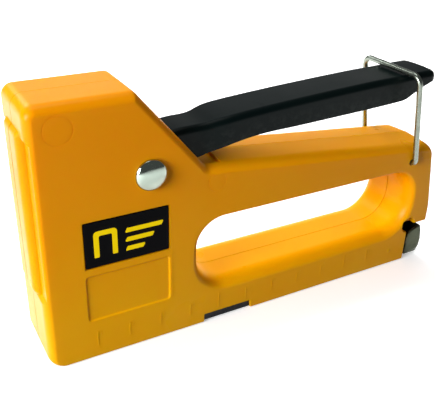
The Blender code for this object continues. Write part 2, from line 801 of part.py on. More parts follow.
def make_clip():
    clip = prism("magazine_clip", clip_outline(), -CLIP_HALF, CLIP_HALF)
    inner = CLIP_HALF - CLIP_SHEET
    space = box("space", CLIP_FRONT + CLIP_SHEET, CLIP_REAR - 0.6 - CLIP_SHEET, -inner, inner,
                1.0 + CLIP_SHEET, CLIP_HIGH + 1)
    cut(clip, space)
    cut(clip, rod("hole", (0, 0, ROD_Z), "X", ROD_R + GAP, CLIP_FRONT - 1, CLIP_FRONT + 2, 12))
    return finish(clip, STEEL, 0.35, 1.0)


def make_clip_rivet():
    seat = CLIP_FRONT + CLIP_SHEET + GAP
    profile = [(0, CLIP_FRONT - GAP / 2), (ROD_R, CLIP_FRONT - GAP / 2), (ROD_R, seat), (2 * ROD_R, seat),
               (1.6 * ROD_R, seat + 0.8), (0, seat + 1.0)]
    rivet = turned("clip_rivet", profile, (0, 0, ROD_Z), "X", sides=12)
    return finish(smooth(rivet, 50), BRIGHT, 0.2, 1.0)


# ---------------------------------------------------------------- bail


def bail_leg():
    return HALF_WIDTH + GAP + BAIL_WIRE_R + 0.05


def bail_top():
    """Height of the crossbar's middle, just clear of the lever's top."""
    return PIVOT[1] + 14.15 + GAP + BAIL_WIRE_R


def bent(points, radii, steps=5):
    """World points along a polyline whose inner corners are bent to the radii."""
    path = [points[0]]
    for before, here, after, radius in zip(points, points[1:], points[2:], radii):
        back = (before - here).normalized()
        ahead = (after - here).normalized()
        half = back.angle(ahead) / 2
        reach = radius / math.tan(half)
        centre = here + (back + ahead).normalized() * (radius / math.sin(half))
        start = here + back * reach - centre
        sweep = math.pi - 2 * half
        axis = back.cross(ahead)
        for step in range(steps + 1):
            spun = Matrix.Rotation(-sweep * step / steps, 3, axis) @ start
            path.append(centre + spun)
    return [*path, points[-1]]


def make_bail():
    """A wire loop over the lever, its ends bent in through the shells."""
    leg = bail_leg()
    end = INNER_HALF - 0.8
    pivot, top = BAIL_PIVOT, bail_top()
    corners = [
        world(pivot[0], -end, pivot[1]), world(pivot[0], -leg, pivot[1]), world(BAIL_BAR, -leg, top),
        world(BAIL_BAR, leg, top), world(pivot[0], leg, pivot[1]), world(pivot[0], end, pivot[1]),
    ]
    small = BAIL_WIRE_R * 1.5
    path = bent(corners, [small, BAIL_BEND, BAIL_BEND, small])
    return finish(wire("wire_bail", path, BAIL_WIRE_R, 2), BRIGHT, 0.25, 1.0)


# ---------------------------------------------------------------- assembly


def clear_scene():
    for obj in list(bpy.data.objects):
        bpy.data.objects.remove(obj)


def empty(name, place):
    obj = bpy.data.objects.new(name, None)
    obj.location = place
    bpy.context.scene.collection.objects.link(obj)
    return obj


def main():
    clear_scene()
    make_left_shell()
    make_right_shell()
    make_label()
    for name, place in SCREWS.items():
        make_screw(name, *place)
    make_pivot_rivet()
    make_spring_seat()
    make_bumper()
    make_nose_plate()
    make_channel()
    make_rail()

    lever_axis = empty("lever_axis", world(PIVOT[0], 0, PIVOT[1]) * MM)
    for piece in (make_lever(), make_lift_pin(), make_lever_spring()):
        hang(piece, lever_axis.location.copy(), lever_axis)

    hammer_axis = empty("hammer_axis", world(SPRING_STATION, 0, HAMMER_LOW) * MM)
    for piece in (make_hammer(), make_blade(), make_power_spring()):
        hang(piece, hammer_axis.location.copy(), hammer_axis)

    rod_axis = empty("rod_axis", world(CLIP_FRONT, 0, ROD_Z) * MM)
    for piece in (make_pusher_rod(), make_rod_block(), make_clip(), make_clip_rivet(),
                  make_pusher_spring()):
        hang(piece, rod_axis.location.copy(), rod_axis)
    hang(make_follower(), world(FOLLOWER_FRONT, 0, ROD_Z) * MM, rod_axis)
    hang(make_bail(), world(BAIL_PIVOT[0], 0, BAIL_PIVOT[1]) * MM)


main()
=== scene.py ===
"""Looks of the staple gun: fine shells, lever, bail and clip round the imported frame.

Shapes are drawn in millimetres. A station runs rearwards from the zero mark of the base's ruler,
and z runs up from the base; finished shapes are brought to metres in the frame's own axes.
"""

import json
import math

import bmesh
import bpy
from mathutils import Matrix, Vector

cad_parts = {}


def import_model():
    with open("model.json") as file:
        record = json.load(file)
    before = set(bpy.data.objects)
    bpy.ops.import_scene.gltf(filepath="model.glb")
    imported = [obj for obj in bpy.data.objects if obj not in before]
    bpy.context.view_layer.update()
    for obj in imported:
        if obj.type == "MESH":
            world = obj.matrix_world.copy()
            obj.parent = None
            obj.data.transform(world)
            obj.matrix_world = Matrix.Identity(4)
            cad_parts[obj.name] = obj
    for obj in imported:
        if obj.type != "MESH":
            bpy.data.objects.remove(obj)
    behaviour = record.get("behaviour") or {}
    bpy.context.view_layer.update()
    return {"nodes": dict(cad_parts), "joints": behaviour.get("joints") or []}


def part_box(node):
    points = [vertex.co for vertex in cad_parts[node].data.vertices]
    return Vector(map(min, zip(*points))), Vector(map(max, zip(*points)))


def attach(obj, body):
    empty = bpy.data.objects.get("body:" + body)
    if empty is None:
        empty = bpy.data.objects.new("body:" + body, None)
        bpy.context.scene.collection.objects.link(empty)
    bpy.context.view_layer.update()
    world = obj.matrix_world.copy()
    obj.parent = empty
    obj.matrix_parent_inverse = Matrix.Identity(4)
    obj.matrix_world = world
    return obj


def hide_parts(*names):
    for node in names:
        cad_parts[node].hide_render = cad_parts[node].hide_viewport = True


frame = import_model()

MM = 0.001


def corner(node, side):
    """A node's low (0) or high (1) corner in millimetres."""
    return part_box(node)[side] / MM


# ---------------------------------------------------------------- sizes from the frame

RIB_PROUD = 1.2
FRONT = -4.4                       # station of the head's front blocks
ZERO = corner("left_shell", 0).x - (FRONT - RIB_PROUD)    # world x of the ruler's zero mark
HALF_WIDTH = -corner("left_shell", 0).y
PARTING = -corner("left_shell", 1).y
REAR = corner("left_shell", 1).x - ZERO
HEAD_TOP = corner("left_shell", 1).z
LABEL_LOW = corner("left_label", 0)
LABEL_HIGH = corner("left_label", 1)
LEVER_HALF = corner("lever", 1).y
LEVER_END = corner("lever", 1).x - ZERO
RIVET_LOW = corner("pivot_rivet", 0)
RIVET_HIGH = corner("pivot_rivet", 1)
CLIP_LOW = corner("magazine_clip", 0)
CLIP_HIGH = corner("magazine_clip", 1)
BAIL_LOW = corner("wire_bail", 0)
BAIL_HIGH = corner("wire_bail", 1)
CHANNEL_HALF = 7.0
joints = {joint["name"]: joint for joint in frame["joints"]}
PIVOT = Vector(joints["lever_hinge"]["pos_m"]) / MM - Vector((ZERO, 0, 0))
BAIL_PIVOT = Vector(joints["bail_swing"]["pos_m"]) / MM - Vector((ZERO, 0, 0))
LIFT_PIN = (corner("lift_pin", 0) + corner("lift_pin", 1)) / 2 - Vector((ZERO, 0, 0))

# ---------------------------------------------------------------- sizes that the frame doesn't give

WALL = 2.2
GAP = 0.3
EDGE_ACROSS = 5.5                  # the widest of the shells' edge roundings, across the width
SLOPE_FOOT = 44.6                  # station where the head's back slope meets the grip
GRIP_TOP_FRONT = 54.9
GRIP_TOP_REAR = 45.7
HEAD_BACK = 24.2
GRIP_BACK = 133.9                  # station of the grip's top rear corner
NOTCH_FRONT = 128.5                # the corner cut away round the magazine's clip
NOTCH_HIGH = 14.3
HOLE = (42.9, 126.7, 13.8, 37.0)   # front, rear, low and high
HOLE_ROUND = 9.5
SIDE_SLOT = (44.9, 62.4, 3.2)      # front, rear and height of the window in the base's edge
PANEL_LOW = 13.6
PANEL_HIGH = 28.0
PANEL_LINE = 33.9                  # a faint raised line behind the panel
FRONT_LOW = 23.0                   # the recessed shoulders beside the front rib
FRONT_HIGH = 70.0
RIB_HALF = 5.4
BOSS_R = 3.6
PIVOT_HOLE_R = 2.8
LIFT_HOLE_R = 2.3
BAIL_HOLE_R = 1.3
FINGER_NOTCH_R = 3.0
SLOT_ROOM = 0.6                    # between the lever and its slot
INSIDE_END = PARTING + 0.1         # ribs and bosses stop just short of the parting face
SHOULDER_DEEP = 1.0
RIB_STEP = RIB_PROUD + SHOULDER_DEEP
SCREW_BOSSES = {"head": (3.6, 72.4), "grip": (48.2, 49.2), "rear": (131.6, 26.0), "base": (37.6, 23.5)}
SHOWN_BOSSES = {"head": 4.0, "grip": 3.0}     # radius of the sink ring of each
RULER_LONG = 11                    # centimetres

LEVER_EDGE = 2.0                   # rounding of the handle's long edges
LEVER_SHEET = 1.4
NECK_IN = 1.5                      # how much narrower each side of the handle's neck is
CLIP_SHEET = 0.9
BAIL_WIRE_R = 0.95

ARC_STEPS = 14
FILLET_STEPS = 16


def world(station, y, z):
    """A point of the frame, still in millimetres."""
    return Vector((station + ZERO, y, z))


# ---------------------------------------------------------------- outlines


def normal_in(a, b):
    """The inward normal of the edge from a to b of a counter-clockwise outline."""
    along = (Vector(b[:2]) - Vector(a[:2])).normalized()
    return Vector((-along.y, along.x))


def moved_in(corners, insets):
    """Corners (station, z, radius) of a counter-clockwise outline; edge i leaves corner i."""
    result = []
    for i, (x, z, radius) in enumerate(corners):
        before, after = insets[i - 1], insets[i]
        one = normal_in(corners[i - 1], corners[i])
        two = normal_in(corners[i], corners[(i + 1) % len(corners)])
        cosine = one.dot(two)
        turn = one.x * two.y - one.y * two.x
        share = max(1 - cosine * cosine, 1e-6)
        step = (one * (before - after * cosine) + two * (after - before * cosine)) / share
        middle = (before + after) / 2
        grown = radius - middle if turn > 0 else radius + middle
        result.append((x + step.x, z + step.y, max(grown, 0.3)))
    return result


def rounded(corners, steps=ARC_STEPS):
    points = []
    for i, (x, z, radius) in enumerate(corners):
        here = Vector((x, z))
        back = (Vector(corners[i - 1][:2]) - here).normalized()
        ahead = (Vector(corners[(i + 1) % len(corners)][:2]) - here).normalized()
        half = math.acos(max(-1.0, min(1.0, back.dot(ahead)))) / 2
        centre = here + (back + ahead).normalized() * (radius / math.sin(half))
        start = here + back * (radius / math.tan(half)) - centre
        turn = back.x * ahead.y - back.y * ahead.x
        sweep = (math.pi - 2 * half) * (1 if turn < 0 else -1)
        for step in range(steps + 1):
            spun = Matrix.Rotation(sweep * step / steps, 2) @ start
            points.append((centre.x + spun.x, centre.y + spun.y))
    return points


def smooth_height(points):
    """A function of the station that runs smoothly through (station, height) points."""

    def height(x):
        x = min(max(x, points[0][0]), points[-1][0])
        for i in range(len(points) - 1):
            (x0, z0), (x1, z1) = points[i], points[i + 1]
            if x <= x1:
                break
        before = points[max(i - 1, 0)]
        after = points[min(i + 2, len(points) - 1)]
        t = (x - x0) / (x1 - x0)
        m0 = (z1 - before[1]) / (x1 - before[0]) * (x1 - x0)
        m1 = (after[1] - z0) / (after[0] - x0) * (x1 - x0)
        a, b = t * t * (3 - 2 * t), t * (1 - t)
        return z0 + (z1 - z0) * a + m0 * b * (1 - t) - m1 * b * t

    return height


# ---------------------------------------------------------------- meshes


def new_piece(name, bm):
    """Makes an object of a finished bmesh, with its faces turned outwards."""
    bmesh.ops.recalc_face_normals(bm, faces=bm.faces)
    mesh = bpy.data.meshes.new(name)
    bm.to_mesh(mesh)
    bm.free()
    piece = bpy.data.objects.new(name, mesh)
    bpy.context.scene.collection.objects.link(piece)
    return piece


def loop_of(bm, outline, y):
    verts = [bm.verts.new(world(x, y, z)) for x, z in outline]
    edges = [bm.edges.new((v, verts[(i + 1) % len(verts)])) for i, v in enumerate(verts)]
    return verts, edges


def bridged(bm, one, other):
    """Quads between two closed loops with the same number of points."""
    for i in range(len(one)):
        j = (i + 1) % len(one)
        bm.faces.new((one[i], one[j], other[j], other[i]))


def layered(name, layers):
    """A solid through layers (y, outlines): the first outline is the outside, the others are holes."""
    bm = bmesh.new()
    made = [[loop_of(bm, outline, y) for outline in outlines] for y, outlines in layers]
    for lower, upper in zip(made, made[1:]):
        for (one, _), (other, _) in zip(lower, upper):
            bridged(bm, one, other)
    for end in (made[0], made[-1]):
        bmesh.ops.triangle_fill(bm, edges=[e for _, loop in end for e in loop], use_beauty=True)
    return new_piece(name, bm)


def prism(name, outline, y0, y1):
    return layered(name, [(y0, [outline]), (y1, [outline])])


def block(name, x0, x1, y0, y1, z0, z1):
    return prism(name, [(x0, z0), (x1, z0), (x1, z1), (x0, z1)], y0, y1)


# Turns a shape drawn round Z so that it stands on another axis
TURN = {
    "X": Matrix(((0, 0, 1), (0, 1, 0), (-1, 0, 0))),
    "Y": Matrix(((1, 0, 0), (0, 0, -1), (0, 1, 0))),
    "Z": Matrix.Identity(3),
}


def turned(name, profile, centre, axis, sides=48):
    """Turns a profile of (radius, along) points round an axis through the centre."""
    bm = bmesh.new()
    place = world(*centre)
    rings = []
    for radius, along in profile:
        angles = [2 * math.pi * k / sides for k in range(sides if radius > 0 else 1)]
        local = [Vector((radius * math.cos(a), radius * math.sin(a), along)) for a in angles]
        rings.append([bm.verts.new(place + TURN[axis] @ p) for p in local])
    for one, other in zip(rings, rings[1:]):
        for k in range(sides):
            a = one[k % len(one)], one[(k + 1) % len(one)]
            b = other[k % len(other)], other[(k + 1) % len(other)]
            bm.faces.new(list(dict.fromkeys((a[0], a[1], b[1], b[0]))))
    return new_piece(name, bm)


def rod(name, centre, axis, radius, low, high, sides=48):
    return turned(name, [(0, low), (radius, low), (radius, high), (0, high)], centre, axis, sides)


def combine(piece, other, operation):
    """Joins other to piece, or cuts it away, and removes other."""
    modifier = piece.modifiers.new(operation.lower(), "BOOLEAN")
    modifier.operation = operation
    modifier.solver = "MANIFOLD"
    modifier.object = other
    graph = bpy.context.evaluated_depsgraph_get()
    mesh = bpy.data.meshes.new_from_object(piece.evaluated_get(graph))
    piece.modifiers.remove(modifier)
    piece.data = mesh
    bpy.data.objects.remove(other)
    return piece


def cut(piece, *others):
    for other in others:
        combine(piece, other, "DIFFERENCE")
    return piece


def join(piece, *others):
    for other in others:
        combine(piece, other, "UNION")
    return piece


def settle(piece, body, material, degrees=32):
    """Brings a piece to metres, shades it and sets what it rides on and is made of."""
    if piece.type == "MESH":
        piece.data.transform(Matrix.Scale(MM, 4))
        piece.data.materials.clear()
        piece.data.materials.append(material)
        piece.data.shade_smooth()
        piece.data.set_sharp_from_angle(angle=math.radians(degrees))
        weighted = piece.modifiers.new("flat_faces_lead", "WEIGHTED_NORMAL")
        weighted.keep_sharp = True
    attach(piece, body)
    return piece


# ---------------------------------------------------------------- shader groups


class Wiring:
    """Places nodes in a node tree and links them by socket name."""

    def __init__(self, tree):
        self.tree = tree

    def node(self, kind, settings=None, **inputs):
        made = self.tree.nodes.new(kind)
        for key, value in (settings or {}).items():
            setattr(made, key, value)
        for key, value in inputs.items():
            self.put(made, key.replace("_", " "), value)
        return made

    def put(self, node, socket, value):
        target = node.inputs[int(socket[1:])] if socket[0] == "#" else node.inputs[socket]
        if isinstance(value, bpy.types.NodeSocket):
            self.tree.links.new(value, target)
        else:
            target.default_value = value

    def math(self, operation, a, b=0.0, clamp=False):
        made = self.node("ShaderNodeMath", {"operation": operation, "use_clamp": clamp})
        self.put(made, "#0", a)
        self.put(made, "#1", b)
        return made.outputs[0]

    def mix(self, factor, a, b):
        made = self.node("ShaderNodeMix", {"data_type": "RGBA"})
        for index, value in ((0, factor), (6, a), (7, b)):
            self.put(made, f"#{index}", value)
        return made.outputs[2]

    def ramp(self, value, low, high, dark=0.0, light=1.0):
        made = self.node("ShaderNodeMapRange", {"clamp": True})
        for index, number in enumerate((value, low, high, dark, light)):
            self.put(made, f"#{index}", number)
        return made.outputs[0]

    def noise(self, vector, scale, detail=2.0, roughness=0.5):
        made = self.node("ShaderNodeTexNoise", Scale=scale, Detail=detail, Roughness=roughness)
        self.put(made, "Vector", vector)
        return made.outputs["Fac"]


def group(name, inputs, outputs):
    tree = bpy.data.node_groups.new(name, "ShaderNodeTree")
    for label, kind, default in inputs:
        socket = tree.interface.new_socket(label, in_out="INPUT", socket_type=kind)
        socket.default_value = default
    for label, kind in outputs:
        tree.interface.new_socket(label, in_out="OUTPUT", socket_type=kind)
    return tree, Wiring(tree), tree.nodes.new("NodeGroupInput"), tree.nodes.new("NodeGroupOutput")


FLOAT = "NodeSocketFloat"
COLOUR = "NodeSocketColor"


def moulding_group():
    """Colour clouding, fine pebble and faint handling scratches of a moulded surface."""
    tree, wire, given, out = group(
        "moulding",
        [("Colour", COLOUR, (1, 1, 1, 1)), ("Cloud Colour", COLOUR, (1, 1, 1, 1)),
         ("Clouding", FLOAT, 0.3), ("Pebble Scale", FLOAT, 900.0), ("Scratches", FLOAT, 0.3),
         ("Gloss", FLOAT, 0.3)],
        [("Colour", COLOUR), ("Roughness", FLOAT), ("Height", FLOAT)],
    )
    place = wire.node("ShaderNodeTexCoord").outputs["Object"]
    clouds = wire.ramp(wire.noise(place, 22.0, 3.0), 0.35, 0.7)
    share = wire.math("MULTIPLY", clouds, given.outputs["Clouding"])
    colour = wire.mix(share, given.outputs["Colour"], given.outputs["Cloud Colour"])
    pebble = wire.noise(place, given.outputs["Pebble Scale"], 2.0)
    stretch = wire.node("ShaderNodeMapping", Scale=(60.0, 60.0, 900.0), Rotation=(0.3, 0.5, 0.2))
    wire.put(stretch, "Vector", place)
    lines = wire.ramp(wire.noise(stretch.outputs[0], 1.0, 4.0, 0.7), 0.66, 0.72)
    scratch = wire.math("MULTIPLY", lines, given.outputs["Scratches"])
    smudge = wire.ramp(wire.noise(place, 45.0, 4.0), 0.3, 0.75, -0.05, 0.09)
    rough = wire.math("ADD", given.outputs["Gloss"], smudge)
    rough = wire.math("ADD", rough, wire.math("MULTIPLY", scratch, 0.25), clamp=True)
    height = wire.math("SUBTRACT", pebble, wire.math("MULTIPLY", scratch, 0.8))
    wire.put(out, "Colour", colour)
    wire.put(out, "Roughness", rough)
    wire.put(out, "Height", height)
    return tree


def edge_wear_group():
    """A mask of worn edges, from the surface's pointiness broken up by noise."""
    tree, wire, given, out = group(
        "edge_wear",
        [("Amount", FLOAT, 0.5), ("Breakup Scale", FLOAT, 300.0)],
        [("Mask", FLOAT)],
    )
    place = wire.node("ShaderNodeTexCoord").outputs["Object"]
    point = wire.node("ShaderNodeNewGeometry").outputs["Pointiness"]
    edges = wire.ramp(point, 0.53, 0.62)
    breakup = wire.ramp(wire.noise(place, given.outputs["Breakup Scale"], 4.0, 0.65), 0.45, 0.62)
    worn = wire.math("MULTIPLY", edges, breakup)
    wire.put(out, "Mask", wire.math("MULTIPLY", worn, given.outputs["Amount"], clamp=True))
    return tree


def drawn_metal_group():
    """Fine lines along one direction, soft tarnish patches and the height of both."""
    tree, wire, given, out = group(
        "drawn_metal",
        [("Colour", COLOUR, (1, 1, 1, 1)), ("Tarnish", COLOUR, (0.2, 0.2, 0.18, 1)),
         ("Tarnish Amount", FLOAT, 0.4), ("Gloss", FLOAT, 0.3),
         ("Line Scale X", FLOAT, 100.0), ("Line Scale Z", FLOAT, 3000.0)],
        [("Colour", COLOUR), ("Roughness", FLOAT), ("Height", FLOAT)],
    )
    place = wire.node("ShaderNodeTexCoord").outputs["Object"]
    scale = wire.node("ShaderNodeCombineXYZ", X=given.outputs["Line Scale X"],
                      Y=given.outputs["Line Scale Z"], Z=given.outputs["Line Scale Z"])
    stretched = wire.node("ShaderNodeVectorMath", {"operation": "MULTIPLY"})
    wire.put(stretched, "#0", place)
    wire.put(stretched, "#1", scale.outputs[0])
    lines = wire.noise(stretched.outputs[0], 1.0, 3.0, 0.6)
    patches = wire.ramp(wire.noise(place, 160.0, 4.0, 0.6), 0.42, 0.7)
    share = wire.math("MULTIPLY", patches, given.outputs["Tarnish Amount"])
    wire.put(out, "Colour", wire.mix(share, given.outputs["Colour"], given.outputs["Tarnish"]))
    rough = wire.math("ADD", given.outputs["Gloss"], wire.ramp(lines, 0.3, 0.7, -0.06, 0.08))
    wire.put(out, "Roughness", wire.math("ADD", rough, wire.math("MULTIPLY", share, 0.2), clamp=True))
    wire.put(out, "Height", lines)
    return tree


MOULDING = moulding_group()
EDGE_WEAR = edge_wear_group()
DRAWN_METAL = drawn_metal_group()


# ---------------------------------------------------------------- materials


def new_material(name):
    material = bpy.data.materials.new(name)
    material.use_nodes = True
    tree = material.node_tree
    return material, Wiring(tree), tree.nodes["Principled BSDF"]


def placed(wire, tree, **inputs):
    made = wire.node("ShaderNodeGroup", {"node_tree": tree})
    for key, value in inputs.items():
        wire.put(made, key.replace("_", " "), value)
    return made


def bump(wire, shader, height, strength, distance):
    made = wire.node("ShaderNodeBump", Strength=strength, Distance=distance)
    wire.put(made, "Height", height)
    wire.put(shader, "Normal", made.outputs[0])


def moulded_plastic(name, colour, cloud, clouding, gloss, pebble, scratches, depth=0.00002):
    """Principled plastic with clouded colour, a fine pebble and handling scratches."""
    material, wire, shader = new_material(name)
    surface = placed(wire, MOULDING, Colour=(*colour, 1), Cloud_Colour=(*cloud, 1),
                     Clouding=clouding, Gloss=gloss, Pebble_Scale=pebble, Scratches=scratches)
    wire.put(shader, "Base Color", surface.outputs["Colour"])
    wire.put(shader, "Roughness", surface.outputs["Roughness"])
    bump(wire, shader, surface.outputs["Height"], 0.25, depth)
    return material, wire, shader


def shell_plastic():
    """Yellow translucent polypropylene with a painted shade gradient: lighter golden at the base, deeper
    orange towards the top.
    """
    golden, painted_shade_top, cloud = (0.89, 0.41, 0.0), (0.88, 0.305, 0.0), (0.86, 0.28, 0.0)
    material, wire, shader = moulded_plastic("shell_plastic", golden, cloud, 0.4, 0.3, 700.0, 0.2)
    place = wire.node("ShaderNodeSeparateXYZ")
    wire.put(place, "Vector", wire.node("ShaderNodeTexCoord").outputs["Object"])
    # Painted shade: the colour runs from golden at the base to deeper orange towards the top, standing in
    # for how the light falls on the sides.
    painted_shade_share = wire.ramp(place.outputs["Z"], 0.01, 0.065)
    surface = shader.inputs["Base Color"].links[0].from_node
    wire.put(surface, "Colour", wire.mix(painted_shade_share, (*golden, 1), (*painted_shade_top, 1)))
    shader.inputs["Subsurface Weight"].default_value = 0.3
    shader.inputs["Subsurface Radius"].default_value = (1.0, 0.42, 0.02)
    shader.inputs["Subsurface Scale"].default_value = 0.004
    shader.inputs["Specular IOR Level"].default_value = 0.12
    shader.inputs["IOR"].default_value = 1.49
    return material


def lever_paint():
    """Black paint with a faint green cast, rubbed grey along its edges."""
    material, wire, shader = moulded_plastic(
        "lever_paint", (0.001, 0.004, 0.004), (0.003, 0.007, 0.006), 0.6, 0.32, 420.0, 0.2)
    wear = placed(wire, EDGE_WEAR, Amount=0.35, Breakup_Scale=420.0)
    base = shader.inputs["Base Color"].links[0].from_socket
    wire.put(shader, "Base Color", wire.mix(wear.outputs[0], base, (0.05, 0.06, 0.055, 1)))
    shader.inputs["Specular IOR Level"].default_value = 0.11
    return material


def label_gloss():
    """The label's black film, which mirrors almost nothing."""
    material, _, shader = moulded_plastic(
        "label_black", (0.002, 0.002, 0.003), (0.002, 0.002, 0.002), 0.5, 0.2, 300.0, 0.2, 0.00001)
    shader.inputs["Specular IOR Level"].default_value = 0.03
    return material


def label_print():
    """The label's yellow ink, with a faint painted glow that makes it read a little brighter than its
    surroundings.
    """
    material, _, shader = moulded_plastic(
        "label_yellow", (1.0, 0.74, 0.0), (1.0, 0.70, 0.0), 0.5, 0.22, 300.0, 0.2, 0.00001)
    shader.inputs["Specular IOR Level"].default_value = 0.1
    # Painted glow: a faint emission brightens the ink, though it is no lamp.
    shader.inputs["Emission Color"].default_value = (1.0, 0.62, 0.0, 1)
    shader.inputs["Emission Strength"].default_value = 0.12
    return material


def metal(name, colour, tarnish, amount, gloss, lines, depth, wear=0.0, worn=(0.8, 0.8, 0.78)):
    """Drawn or rolled metal; lines are the scales of its grain along X and across it."""
    material, wire, shader = new_material(name)
    surface = placed(wire, DRAWN_METAL, Colour=(*colour, 1), Tarnish=(*tarnish, 1),
                     Tarnish_Amount=amount, Gloss=gloss, Line_Scale_X=lines[0], Line_Scale_Z=lines[1])
    base = surface.outputs["Colour"]
    if wear:
        mask = placed(wire, EDGE_WEAR, Amount=wear, Breakup_Scale=600.0)
        base = wire.mix(mask.outputs[0], base, (*worn, 1))
    wire.put(shader, "Base Color", base)
    wire.put(shader, "Roughness", surface.outputs["Roughness"])
    shader.inputs["Metallic"].default_value = 1.0
    bump(wire, shader, surface.outputs["Height"], 0.3, depth)
    return material


def black_plastic():
    colour, cloud = (0.02, 0.02, 0.02), (0.03, 0.03, 0.03)
    return moulded_plastic("black_acetal", colour, cloud, 0.5, 0.45, 800.0, 0.3)[0]


def bumper_rubber():
    colour, cloud = (0.02, 0.02, 0.02), (0.035, 0.033, 0.03)
    return moulded_plastic("bumper_rubber", colour, cloud, 0.6, 0.8, 1500.0, 0.1)[0]


SHELL = shell_plastic()
PAINT = lever_paint()
LABEL_BLACK = label_gloss()
LABEL_YELLOW = label_print()
RIVET_CHROME = metal("rivet_chrome", (0.42, 0.50, 0.43), (0.34, 0.36, 0.31), 0.2, 0.09, (500, 500),
                     0.000004)
WIRE_STEEL = metal("bail_wire", (0.30, 0.34, 0.29), (0.18, 0.20, 0.16), 0.4, 0.26, (900, 500),
                   0.000003)
CLIP_ZINC = metal("clip_zinc", (0.07, 0.08, 0.05), (0.035, 0.04, 0.025), 0.6, 0.4, (300, 2500),
                  0.00002, 0.6)
PLAIN_STEEL = metal("plain_steel", (0.5, 0.5, 0.48), (0.25, 0.24, 0.22), 0.4, 0.35, (120, 3000),
                    0.00002, 0.3)
DARK_STEEL = metal("oiled_steel", (0.02, 0.021, 0.023), (0.01, 0.01, 0.01), 0.6, 0.42, (100, 2600),
                   0.00002, 0.2, (0.06, 0.06, 0.06))
SPRING_STEEL = metal("spring_steel", (0.32, 0.32, 0.31), (0.15, 0.14, 0.12), 0.4, 0.3, (900, 900),
                     0.00001)
SCREW_ZINC = metal("screw_zinc", (0.6, 0.6, 0.57), (0.35, 0.34, 0.3), 0.5, 0.33, (600, 600),
                   0.00001, 0.4)
ACETAL = black_plastic()
RUBBER = bumper_rubber()


# ---------------------------------------------------------------- shells


def body_corners():
    """The side view's corners, each with its radius; then how the edge that leaves it is rounded:
    how deep, how far across the width, and the drop per millimetre from the parting line."""
    return [
        ((FRONT, 0.0, 4.0), (0.4, 1.2, 0.0)),
        ((NOTCH_FRONT, 0.0, 0.6), (0.6, 1.5, 0.0)),
        ((NOTCH_FRONT, NOTCH_HIGH, 0.6), (0.5, 1.5, 0.0)),
        ((REAR, NOTCH_HIGH, 0.9), (1.0, 2.4, 0.0)),
        ((REAR, NOTCH_HIGH + 8.0, 8.0), (1.3, 2.6, 0.0)),
        ((GRIP_BACK, GRIP_TOP_REAR + 0.3, 4.6), (2.2, 4.4, 0.08)),
        ((SLOPE_FOOT, GRIP_TOP_FRONT, 1.6), (2.2, 2.8, 0.0)),
        ((HEAD_BACK, HEAD_TOP, 2.2), (2.6, 3.2, 0.02)),
        ((FRONT, HEAD_TOP, 3.4), (2.3, 2.8, 0.0)),
    ]


def hole_corners():
    front, rear, low, high = HOLE
    return [
        ((front, low, HOLE_ROUND + 0.5), (3.2, 5.5, 0.02)),
        ((rear, low, HOLE_ROUND + 0.5), (2.6, 4.5, 0.02)),
        ((rear, high, HOLE_ROUND), (1.0, 2.2, 0.0)),
        ((front, high, HOLE_ROUND - 0.5), (2.2, 3.6, 0.0)),
    ]


def inset_at(y, rounding):
    """How far an edge has moved in at distance y from the middle plane."""
    depth, reach, draft = rounding
    into = max(0.0, y - (HALF_WIDTH - reach)) / reach
    return draft * y + depth * (1 - math.sqrt(max(0.0, 1 - into * into)))


def shell_blank(name, side):
    body, hole = body_corners(), hole_corners()
    layers = []
    for step in range(FILLET_STEPS + 2):
        angle = math.pi / 2 * (step - 1) / FILLET_STEPS
        y = HALF_WIDTH - EDGE_ACROSS * (1 - math.sin(angle)) if step else PARTING
        outer = moved_in([place for place, _ in body], [inset_at(y, edge) for _, edge in body])
        inner = moved_in([place for place, _ in hole], [-inset_at(y, edge) for _, edge in hole])
        layers.append((side * y, [rounded(outer), rounded(inner)]))
    return layered(name, layers)


def shell_hollow(side):
    body = [place for place, _ in body_corners()]
    hole = [place for place, _ in hole_corners()]
    outer = rounded(moved_in(body, [WALL] * len(body)), 4)
    inner = rounded(moved_in(hole, [-WALL] * len(hole)), 8)
    reach = HALF_WIDTH - WALL
    return layered("hollow", [(-side * 2, [outer, inner]), (side * reach, [outer, inner])])


def shoulder(side):
    """The recess beside the front rib; its cutter has soft ends."""
    depth = SHOULDER_DEEP
    outline = [
        (FRONT - 3, FRONT_LOW - 0.9), (FRONT, FRONT_LOW - 0.6), (FRONT + depth, FRONT_LOW + 0.6),
        (FRONT + depth, FRONT_HIGH - 0.8), (FRONT, FRONT_HIGH + 0.3), (FRONT - 3, FRONT_HIGH + 0.9),
    ]
    return prism("shoulder", outline, side * (RIB_HALF - 0.9), side * (HALF_WIDTH + 2))


def front_rib(side):
    """The proud band down the middle of the head's front, blending into the shell at its ends."""
    face = FRONT - RIB_PROUD
    corners = [(FRONT + 1.5, FRONT_LOW - 1.5, 0.4), (face + 0.1, FRONT_LOW + 1.2, 2.5),
               (face + 0.1, FRONT_HIGH + 0.6, 2.2), (FRONT + 1.5, FRONT_HIGH + 2.8, 0.4)]
    corners.reverse()
    layers = [(side * INSIDE_END, [rounded(corners, 6)])]
    for step in range(9):
        angle = math.pi / 2 * step / 8
        inset = [0.8 * (1 - math.cos(angle)), RIB_STEP * (1 - math.cos(angle)) + 0.15 * step / 8,
                 0.8 * (1 - math.cos(angle)), 0.0]
        y = RIB_HALF - 0.6 + 2.2 * math.sin(angle)
        layers.append((side * y, [rounded(moved_in(corners, inset), 6)]))
    return layered("rib", layers)


def across(side, near, far):
    """The along values of a rod on the Y axis between two distances from the middle."""
    return sorted((-side * near, -side * far))


def boss(side, station, z):
    inside = across(side, INSIDE_END, HALF_WIDTH - WALL + 1)
    return rod("boss", (station, 0, z), "Y", BOSS_R, *inside, sides=32)


def sink_ring(side, station, z, radius):
    """The faint ring that a screw boss draws on the outside of the wall."""
    deep = 0.07
    width = 0.35
    low, high = across(side, HALF_WIDTH - deep, HALF_WIDTH + 1)
    ring = rod("ring", (station, 0, z), "Y", radius, low, high)
    return cut(ring, rod("core", (station, 0, z), "Y", radius - width, low - 1, high + 1))


